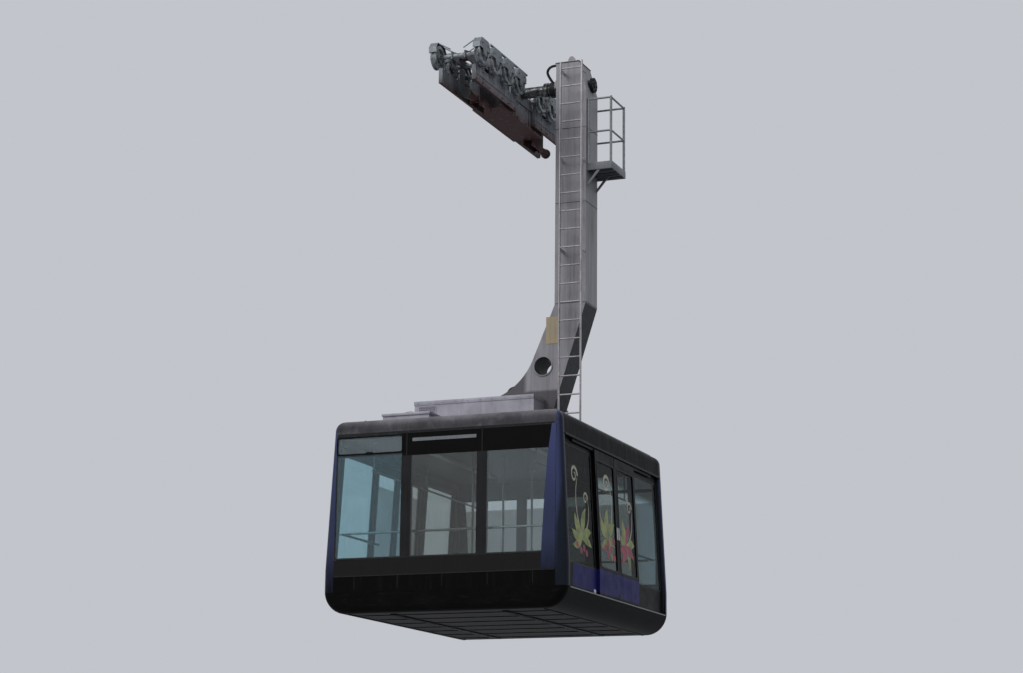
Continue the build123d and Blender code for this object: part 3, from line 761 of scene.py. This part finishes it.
sprays = {
    "fixed_rear": ("cabin", door_recess, {
        "shoots": [ribbon((-1.4, 1.05), (-1.72, 1.5), (-1.5, 1.88), 0.05),
                   curl((-1.62, 1.9), 0.13, 1.25, 0.05),
                   ribbon((-1.36, 1.05), (-1.0, 1.3), (-1.12, 1.62), 0.045),
                   curl((-1.2, 1.62), 0.09, 1.2, 0.042)],
        "leaves": fan((-1.4, 1.02), (20, 0.4, 0.15), (68, 0.5, 0.16), (128, 0.44, 0.15),
                      (165, 0.42, 0.13), (-12, 0.38, 0.12), (196, 0.4, 0.12)),
        "berries": berries(0.05, (-1.34, 0.9), (-1.46, 0.86), (-1.24, 0.84), (-1.6, 0.92))}),
    "leaf_rear": ("door_right_rear", pane_inset, {
        "shoots": [ribbon((-0.36, 1.2), (-0.1, 1.6), (-0.26, 1.92), 0.055),
                   curl((-0.4, 1.94), 0.14, 1.3, 0.055),
                   ribbon((-0.5, 1.2), (-0.74, 1.3), (-0.7, 1.6), 0.045)],
        "leaves": fan((-0.44, 1.14), (38, 0.4, 0.17), (84, 0.46, 0.18), (132, 0.4, 0.16),
                      (-16, 0.32, 0.13), (205, 0.3, 0.13), (-60, 0.36, 0.12)),
        "berries": berries(0.06, (-0.42, 1.08), (-0.3, 1.0), (-0.54, 1.0), (-0.42, 0.92), (-0.18, 1.14),
                           (-0.18, 0.9))}),
    "leaf_front": ("door_right_front", pane_inset, {
        "shoots": [ribbon((0.4, 1.15), (0.7, 1.3), (0.68, 1.7), 0.045),
                   curl((0.58, 1.72), 0.1, 1.2, 0.045)],
        "leaves": fan((0.4, 1.12), (10, 0.34, 0.15), (110, 0.44, 0.17), (152, 0.32, 0.15),
                      (-75, 0.34, 0.13)),
        "berries": fan((0.36, 1.14), (60, 0.38, 0.13), (196, 0.28, 0.12), (232, 0.34, 0.13),
                       (-30, 0.38, 0.12)) + berries(0.055, (0.36, 1.12), (0.48, 1.04), (0.26, 1.02))}),
}
film_colours = {"shoots": curl_film, "leaves": leaf_film, "berries": berry_film}
for pane, (body, inset, cuts) in sprays.items():
    for depth, (kind, outlines) in enumerate(cuts.items()):
        for index, outline in enumerate(outlines):
            slab(on_side(-1, inset), outline, film_thickness * (1 + depth + index / 10))
        piece(f"film_{kind}_{pane}", film_colours[kind], body)

# Roof, its housing and hatch

for along in (-1.96, -1.1, 1.1, 1.96):
    plate(on_roof, (along - 0.012, -1.58), (along + 0.012, 1.58), 0.005, 0.014, -0.002, 2)
for across in (-1.6, 1.6):
    plate(on_roof, (-2.03, across - 0.012), (2.03, across + 0.012), 0.005, 0.02, -0.002, 2)
piece("roof_seams", roof_enamel)

for along, across in product((-1.75, 1.75), (-1.45, 1.45)):
    plate(on_roof, (along - 0.07, across - 0.05), (along + 0.07, across + 0.05), 0.012, 0.012)
    made = bmesh.ops.create_circle(shape, segments=10, radius=0.009)["verts"]
    bmesh.ops.rotate(shape, verts=made, matrix=Matrix.Rotation(pi / 2, 3, "X"))
    bmesh.ops.translate(shape, verts=made, vec=Vector((0.034, 0, 0)))
    ring = made + edges_of(made)
    bmesh.ops.spin(shape, geom=ring, cent=(0, 0, 0), axis=(0, 1, 0), dvec=(0, 0, 0), angle=2 * pi,
                   steps=20, use_merge=True)
    eye = [vert for vert in shape.verts if vert.co.length < 0.1]
    bmesh.ops.translate(shape, verts=eye, vec=on_roof(along, across, 0.04))
    places = [on_roof(along + dx, across + dy, 0.012)
              for dx, dy in product((-0.05, 0.05), (-0.033, 0.033))]
    bolts(places, (0, 0, 1), 0.016)
piece("lifting_eyes", guard_zinc)

house_low, house_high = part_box("roof_housing")
strip, lip, over = 0.008, 0.004, 0.006
strip_rows = ((house_high.z - 0.06, house_high.z + lip), (house_low.z, house_low.z + 0.035))
for x in (house_low.x - over, house_high.x + over - strip):
    for (bottom, top), past in zip(strip_rows, (over, lip)):
        box((x, house_low.y - past, bottom), (x + strip, house_high.y + past, top), 0.002)
for y in (house_low.y - over, house_high.y + over - strip):
    for near, far in ((house_low.x - over, -hanger_half - 0.01), (hanger_half + 0.01, house_high.x + over)):
        for bottom, top in strip_rows:
            box((near, y, bottom), (far, y + strip, top), 0.002)
piece("housing_edge_strips", housing_enamel)

house_ends = ((house_low.x, -1), (house_high.x, 1))
house_flanks = ((house_low.y, -1), (house_high.y, 1))
screw_rows = (house_low.z + 0.018, house_high.z - 0.03)
screw_pitch = 0.2
screws = range(int((house_high.y - house_low.y) / screw_pitch) + 1)
for (x, out), index, z in product(house_ends, screws, screw_rows):
    y = house_low.y + 0.05 + screw_pitch * index
    rod((x + out * 0.004, y, z), (x + out * 0.011, y, z), 0.008, 0.006, 10)
for x, (y, out), z in product((-0.62, -0.44, 0.44, 0.62), house_flanks, screw_rows):
    rod((x, y + out * 0.004, z), (x, y + out * 0.011, z), 0.008, 0.006, 10)
piece("housing_screws", guard_zinc)

louvre_low, louvre_high = (0.82, house_high.z - 0.24), (1.08, house_high.z - 0.085)
for x, out in house_ends:
    place = on_plate(x, out)
    border(place, louvre_low, louvre_high, 0.014, 0.008, 0.012)
    for index in range(5):
        up = louvre_low[1] + 0.012 + index * 0.029
        left, right = louvre_low[0] + 0.01, louvre_high[0] - 0.01
        blade = ((left, up, 0.002), (right, up, 0.002),
                 (right, up + 0.018, 0.014), (left, up + 0.018, 0.014))
        lower = [place(*corner) for corner in blade]
        solid(lower, [corner + Vector((0, 0, 0.003)) for corner in lower])
piece("housing_louvres", housing_enamel)

hatch_low, hatch_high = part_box("roof_hatch")
hinge_x, hinge_z = hatch_high.x + 0.024, hatch_high.z - 0.012
box((hatch_low.x - 0.015, hatch_low.y - 0.015, hatch_high.z - 0.03),
    (hatch_high.x + 0.015, hatch_high.y + 0.015, hatch_high.z + 0.008), 0.006)
for y in (hatch_low.y + 0.12, hatch_high.y - 0.12):
    rod((hinge_x, y - 0.05, hinge_z), (hinge_x, y + 0.05, hinge_z), 0.012)
piece("hatch_lid", housing_enamel)
middle, grip_x = (hatch_low.y + hatch_high.y) / 2, hatch_low.x + 0.12
cable("hatch_handle", [(grip_x, middle + y, hatch_high.z + z)
                       for y, z in ((-0.09, 0.0), (-0.09, 0.045), (0.09, 0.045), (0.09, 0.0))],
      0.008, brushed_stainless)

# Hanger

foot_top = house_high.z
foot_sheet = 0.02
knee = 4.71 - cabin_drop
box((-0.33, house_low.y + 0.02, foot_top), (0.33, 0.44, foot_top + foot_sheet), 0.004)
bolt_rows = [house_low.y + 0.07 + index * 0.176 for index in range(7)]
bolts(product((-0.292, 0.292), bolt_rows, (foot_top + foot_sheet,)), (0, 0, 1), 0.036)
piece("foot_plate", hanger_enamel)

weld, inset = 0.006, 0.004
for z in (knee + 0.02, -1.72, -0.55):
    for out in (-1, 1):
        x = out * hanger_half
        box((x, hanger_outer_y + inset, z - weld), (x + out * weld, hanger_inner_y - inset, z + weld), 0.003)
    for y, out in ((hanger_outer_y, -1), (hanger_inner_y, 1)):
        box((inset - hanger_half, y, z - weld), (hanger_half - inset, y + out * weld, z + weld), 0.003)
piece("hanger_welds", hanger_enamel)

for out in (-1, 1):
    rims = [[(hole_y + a, hole_z + b) for a, b in ring_of(48, hole_radius + rim)] for rim in (0.001, 0.016)]
    band(on_plate(out * hanger_half, out), *rims, 0.012)
piece("foot_hole_collar", hanger_enamel)

head, head_sheet = 0.5, 0.014
head_top = head + head_sheet
lug_y = -1.1
lug = [(-0.07, 0.0), (0.07, 0.0), (0.05, 0.08), (0.02, 0.115), (-0.02, 0.115), (-0.05, 0.08)]
box((-0.262, hanger_outer_y + 0.112, head), (0.262, hanger_inner_y + 0.012, head_top), 0.004)
bolts(product((-0.2, -0.1, 0.1, 0.2), (hanger_outer_y + 0.16, hanger_inner_y - 0.05), (head_top,)),
      (0, 0, 1), 0.024)
for x in (-0.13, 0.13):
    slab(on_plate(x, 1), [(a + lug_y, b + head_top) for a, b in lug], 0.012, -0.012)
piece("head_plate", hanger_enamel)

cap_low, cap_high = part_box("pivot_cap")
cap_z = (cap_low.z + cap_high.z) / 2
bolts([(a, cap_low.y, cap_z + b) for a, b in ring_of(8, 0.088)], (0, -1, 0), 0.018)
rod((0, cap_low.y, cap_z), (0, cap_low.y - 0.012, cap_z), 0.045, 0.04, 32)
piece("cap_bolts", dark_enamel)

rod((0, -0.815, cap_z), (0, -0.72, cap_z), 0.125, 0.118, 40)
rod((0, -0.72, cap_z), (0, -0.708, cap_z), 0.1, 0.095, 40)
bolts([(a, -0.718, cap_z + b) for a, b in ring_of(6, 0.108)], (0, 1, 0), 0.014)
piece("slip_ring_drum", dark_enamel)
ring_run = ((-0.06, -0.765, 0.1), (-0.1, -0.7, 0.2), (-0.14, -0.7, 0.28), (-0.17, -0.8, 0.34),
            (-0.18, -0.93, 0.32))
cable("slip_ring_cable", [(x, y, cap_z + up) for x, y, up in ring_run], 0.02)

conduit_x = 0.13
conduit_run = [(-0.872, 0.35), (-0.872, knee + 0.15), (-0.872, knee), (-0.80, knee - 0.25),
               (-0.42, foot_top + 0.38), (-0.22, foot_top + 0.3), (-0.05, foot_top + 0.3),
               (0.02, foot_top + 0.2), (0.02, foot_top + foot_sheet)]
cable("hanger_conduit", [(conduit_x, *point) for point in conduit_run], 0.017)
for index in range(7):
    z = 0.2 - index * 0.55
    box((conduit_x - 0.03, hanger_inner_y, z - 0.02), (conduit_x + 0.03, -0.848, z + 0.02), 0.004)
piece("conduit_clips", guard_zinc)

# Carriage

guard_outline = [(-0.188, 0.22), (-0.188, 0.3), (-0.12, 0.382), (0.12, 0.382), (0.188, 0.3), (0.188, 0.22)]
guard_tongue = [(0.075, 0.22), (0.055, 0.13), (-0.055, 0.13), (-0.075, 0.22)]
guard_sheet = 0.004
guard_inner_y, guard_width = 0.29, 0.12
guard_outer_y = guard_inner_y + guard_width + guard_sheet / 2


def wheel_guard(x, out):
    """Folded sheet guard over a wheel, with its two stays, two bolts and hub cap. out is its side."""
    def place(along, up, depth):
        return Vector((x + along, out * (guard_inner_y + depth), up))
    slab(place, guard_outline + guard_tongue, guard_width + guard_sheet / 2, guard_width - guard_sheet / 2)
    hub = Vector((x, out * groove_y, wheel_height))
    for first, second in zip(guard_outline, guard_outline[1:]):
        quad = [place(*first, 0.0), place(*second, 0.0),
                place(*second, guard_width), place(*first, guard_width)]
        inward = (hub - quad[0]).normalized() * guard_sheet
        solid(quad, [corner + inward for corner in quad])
    for dx in (-0.1, 0.1):
        rod((x + dx, out * 0.105, 0.262), (x + dx, out * 0.295, 0.374), 0.009, sides=10)
        bolts([(x + dx, out * guard_outer_y, 0.3)], (0, out, 0), 0.018)
    cap = Vector((x, out * guard_outer_y, wheel_height))
    rod(cap, cap + Vector((0, out * 0.006, 0)), 0.05, 0.047, 24)


for (end, end_sign), (seat, seat_sign) in product(ends.items(), ends.items()):
    rocker = f"rocker_{end}_{seat}"
    middle = end_sign * truck_x + seat_sign * wheel_pitch
    for wheel_sign, out in product((-1, 1), (-1, 1)):
        wheel_guard(middle + wheel_sign * wheel_pitch / 2, out)
    piece("wheel_guards_" + rocker, guard_zinc, rocker)

flange_x, web_y, web_low, rib = 0.83, 0.23, -0.3, 0.014
for out in (-1, 1):
    y, face_y = out * web_y, out * (web_y + rib)
    for x in (-0.72, -0.5, -0.28, 0.28, 0.5, 0.72):
        box((x - 0.006, y, web_low + 0.015), (x + 0.006, face_y, -0.01), 0.002)
    box((-flange_x, y, web_low - 0.002), (flange_x, face_y, web_low + 0.015), 0.002)
    box((-flange_x, y, -0.012), (flange_x, face_y, 0.004), 0.002)
    for z in (-0.255, -0.045):
        bolts(product((-0.79, -0.61, -0.39, -0.17, 0.17, 0.39, 0.61, 0.79), (y,), (z,)), (0, out, 0), 0.022)
        bolts(product((out * flange_x,), (-0.19, -0.095, 0.095, 0.19), (z,)), (out, 0, 0), 0.024)
piece("girder_stiffeners", girder_enamel, "carriage")

truck_face_y, pin_z, socket_z = 0.285, 0.33, -0.3
for end, sign in ends.items():
    x = sign * truck_x
    for out in (-1, 1):
        y = out * truck_face_y
        bolts(product([x + dx for dx in (-0.74, -0.5, -0.25, 0.25, 0.5, 0.74)], (y,), (-0.2, -0.04)),
              (0, out, 0), 0.022)
        for dx in (-0.785, 0.785):
            box((x + dx - 0.012, out * 0.235, -0.235), (x + dx + 0.012, out * 0.295, -0.005), 0.003)
        box((x - 0.78, y - 0.002, -0.134), (x + 0.78, y + out * 0.006, -0.116), 0.002)
    bolts(product((x - 0.035, x + 0.035), (-0.22, -0.11, 0.11, 0.22), (0.475,)), (0, 0, 1), 0.022)
    piece("truck_bolts_" + end, girder_enamel, "truck_" + end)

    for out in (-1, 1):
        rod((x, out * 0.075, pin_z), (x, out * 0.084, pin_z), 0.055, 0.05, 28)
        bolts([(x, out * 0.084, pin_z)], (0, out, 0), 0.04)
    piece("truck_pin_caps_" + end, guard_zinc, "carriage")

    bolts([(sign * 1.3, a, b + socket_z) for a, b in ring_of(6, 0.058, 0.5)], (sign, 0, 0), 0.016)
    rod((sign * 1.585, 0, socket_z), (sign * 1.622, 0, socket_z), 0.076, 0.076, 36)
    piece("socket_bolts_" + end, dark_enamel, "carriage")

tower_top, foot_height = 0.29, 0.012
for x in (-0.14, 0.14):
    box((x - 0.05, -0.05, tower_top), (x + 0.05, 0.05, tower_top + foot_height), 0.003)
    bolts(product((x - 0.036, x + 0.036), (-0.036, 0.036), (tower_top + foot_height,)), (0, 0, 1), 0.014)
piece("rail_feet", guard_zinc, "carriage")

# Service basket. Its kick strips stand a little outside the deck's edge, so that no faces coincide.

deck_low, deck_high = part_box("basket_floor")
deck, clear = deck_high.z, 0.002
kick_low, kick_high, kick_sheet = deck - 0.06, deck + 0.055, 0.008
left, near, right, far = deck_low.x - clear, deck_low.y - clear, deck_high.x + clear, deck_high.y + clear
for low, high in (((left, near), (right, near + kick_sheet)), ((right - kick_sheet, near), (right, far)),
                  ((left, near), (left + kick_sheet, hanger_outer_y - clear)),
                  ((hanger_half + clear, far - kick_sheet), (right, far))):
    box((*low, kick_low), (*high, kick_high), 0.002)
for x in (-0.1, 0.06, 0.16, 0.3):
    inner = hanger_outer_y - 0.004 if x < hanger_half else deck_high.y - 0.01
    box((x - 0.004, deck_low.y + 0.006, deck - 0.075), (x + 0.004, inner, deck - 0.04), 0.001)
piece("kick_strips", grey_enamel)

tread_pitch, margin = 0.032, 0.02
rows, columns = (int((high - low) / tread_pitch) for low, high in zip(deck_low.yx, deck_high.yx))
for row, column in product(range(rows), range(columns)):
    x = deck_low.x + margin + (column + 0.5 * (row % 2)) * tread_pitch
    y = deck_low.y + margin + row * tread_pitch
    if x > deck_high.x - margin or (x < hanger_half + margin and y > hanger_outer_y - margin):
        continue
    made = rod((0, 0, -0.0015), (0, 0, 0.0015), 0.011, 0.008, 6)
    turn = pi / 4 if (row + column) % 2 else -pi / 4
    bmesh.ops.scale(shape, verts=made, vec=(1.0, 0.35, 1.0))
    bmesh.ops.rotate(shape, verts=made, matrix=Matrix.Rotation(turn, 3, "Z"))
    bmesh.ops.translate(shape, verts=made, vec=(x, y, deck + 0.0012))
piece("deck_treads", basket_zinc)

# Inside the cabin

floor_z = 0.29 - cabin_drop
ceiling_z = 2.48 - cabin_drop
for index, x in enumerate((-1.15, 0.0, 1.15)):
    rod((x, 0, floor_z), (x, 0, ceiling_z), 0.017, sides=24)
    for z, out in ((floor_z, 1), (ceiling_z, -1)):
        rod((x, 0, z), (x, 0, z + out * 0.012), 0.055, 0.05, 28)
        rod((x, 0, z + out * 0.012), (x, 0, z + out * 0.05), 0.03, 0.02, 24)
    piece(f"stanchion_{index + 1}", brushed_stainless)
for side, sign in sides.items():
    y, z = sign * 1.25, 2.06 - cabin_drop
    rod((-1.9, y, z), (1.9, y, z), 0.014)
    for x in (-1.85, 0.0, 1.85):
        rod((x, y, z), (x, y, ceiling_z), 0.01, sides=14)
        rod((x, y, ceiling_z - 0.01), (x, y, ceiling_z), 0.035)
    piece("grab_rail_" + side, brushed_stainless)

# Underside

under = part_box("floor_pan")[0].z
pan_face = under + 0.001
for index in range(7):
    x = -1.8 + index * 0.6
    box((x - 0.03, -1.5, under - 0.008), (x + 0.03, 1.5, pan_face), 0.003)
for y in (-1.48, 1.48):
    box((-2.05, y - 0.02, under - 0.01), (2.05, y + 0.02, pan_face), 0.003)
for y in (-0.85, 0.85):
    box((-1.95, y - 0.045, under - 0.016), (1.95, y + 0.045, pan_face), 0.005)
    for index in range(12):
        x = -1.85 + index * 0.336
        rod((x, y, under - 0.02), (x, y, under - 0.016), 0.012, sides=12)
piece("pan_ribs", floor_pan_coating)


# Camera, floor and light

def shown_behind():
    """1 for what the camera sees directly, mirrored or through glass, 0 for the light on the object."""
    path = add("LightPath", {}).node.outputs
    seen = path["Is Camera Ray"]
    for kind in ("Is Glossy Ray", "Is Transmission Ray"):
        seen = add("Math", {"Value": seen, "Value_001": path[kind]}, operation="MAXIMUM")
    return seen


@finish
def sealed_concrete():
    """Pale grey sealed concrete, see-through from underneath, that throws little light back up."""
    pale = lay_over("C2C4C8", ("CDCFD3", mottle(900), 0.0, 1.0))
    muted = lay_over("3C3D40", (pale, shown_behind(), 0.0, 1.0))
    coat = add("BsdfPrincipled", {"Base Color": muted, "Roughness": 0.7})
    back = add("NewGeometry", {}, take="Backfacing")
    clear = add("BsdfTransparent", {})
    return add("MixShader", {"Fac": back, "Shader": coat, "Shader_001": clear})


def studio():
    """Overcast light, a pale floor at the camera's height and a pale backdrop."""
    world = bpy.data.worlds.new("backdrop")
    bpy.context.scene.world = world
    world.use_nodes = True
    at.tree = world.node_tree
    at.tree.nodes.clear()
    way = add("TexCoord", {}, take="Generated")
    up = add("SeparateXYZ", {"Vector": way}, take="Z")
    sky = lay_over("4C4F54", ("F2F5FA", up, -0.05, 0.6))
    light = add("Background", {"Color": sky, "Strength": 0.9})
    seen = add("Background", {"Color": backdrop, "Strength": 1.0})
    both = add("MixShader", {"Fac": shown_behind(), "Shader": light, "Shader_001": seen})
    add("OutputWorld", {"Surface": both})

    reach = 60
    corners = [(x * reach, y * reach, camera_place.z) for x, y in ((-1, -1), (1, -1), (1, 1), (-1, 1))]
    mesh = bpy.data.meshes.new("floor")
    mesh.from_pydata(corners, [], [(0, 1, 2, 3)])
    mesh.materials.append(sealed_concrete)
    put("floor", mesh)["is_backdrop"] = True

    for name, place, size, power in (("sky_lamp", (-13, 7, 9), 12, 1500),
                                     ("fill_lamp", (-10, -12, 2), 9, 260)):
        lamp = bpy.data.lights.new(name, "AREA")
        lamp.shape = "DISK"
        lamp.size = size
        lamp.energy = power
        made = put(name, lamp)
        made.location = place
        made.rotation_euler = (Vector((0, -0.6, -4)) - Vector(place)).to_track_quat("-Z", "Y").to_euler()


def camera():
    """Camera where the photograph was taken from, turned to the middle of the vehicle."""
    lens = bpy.data.cameras.new("camera")
    lens.lens = camera_lens
    lens.sensor_width = 36
    lens.clip_end = 500
    made = put("camera", lens)
    made.matrix_world = (Matrix.Translation(camera_place)
                         @ (camera_aim - camera_place).to_track_quat("-Z", "Y").to_matrix().to_4x4()
                         @ Matrix.Rotation(camera_roll, 4, "Z"))
    bpy.context.scene.camera = made


studio()
camera()
bpy.context.scene.view_settings.view_transform = "Standard"
low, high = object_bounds()
{"cad": [list(cad_low), list(cad_high)], "visual": [list(low), list(high)]}
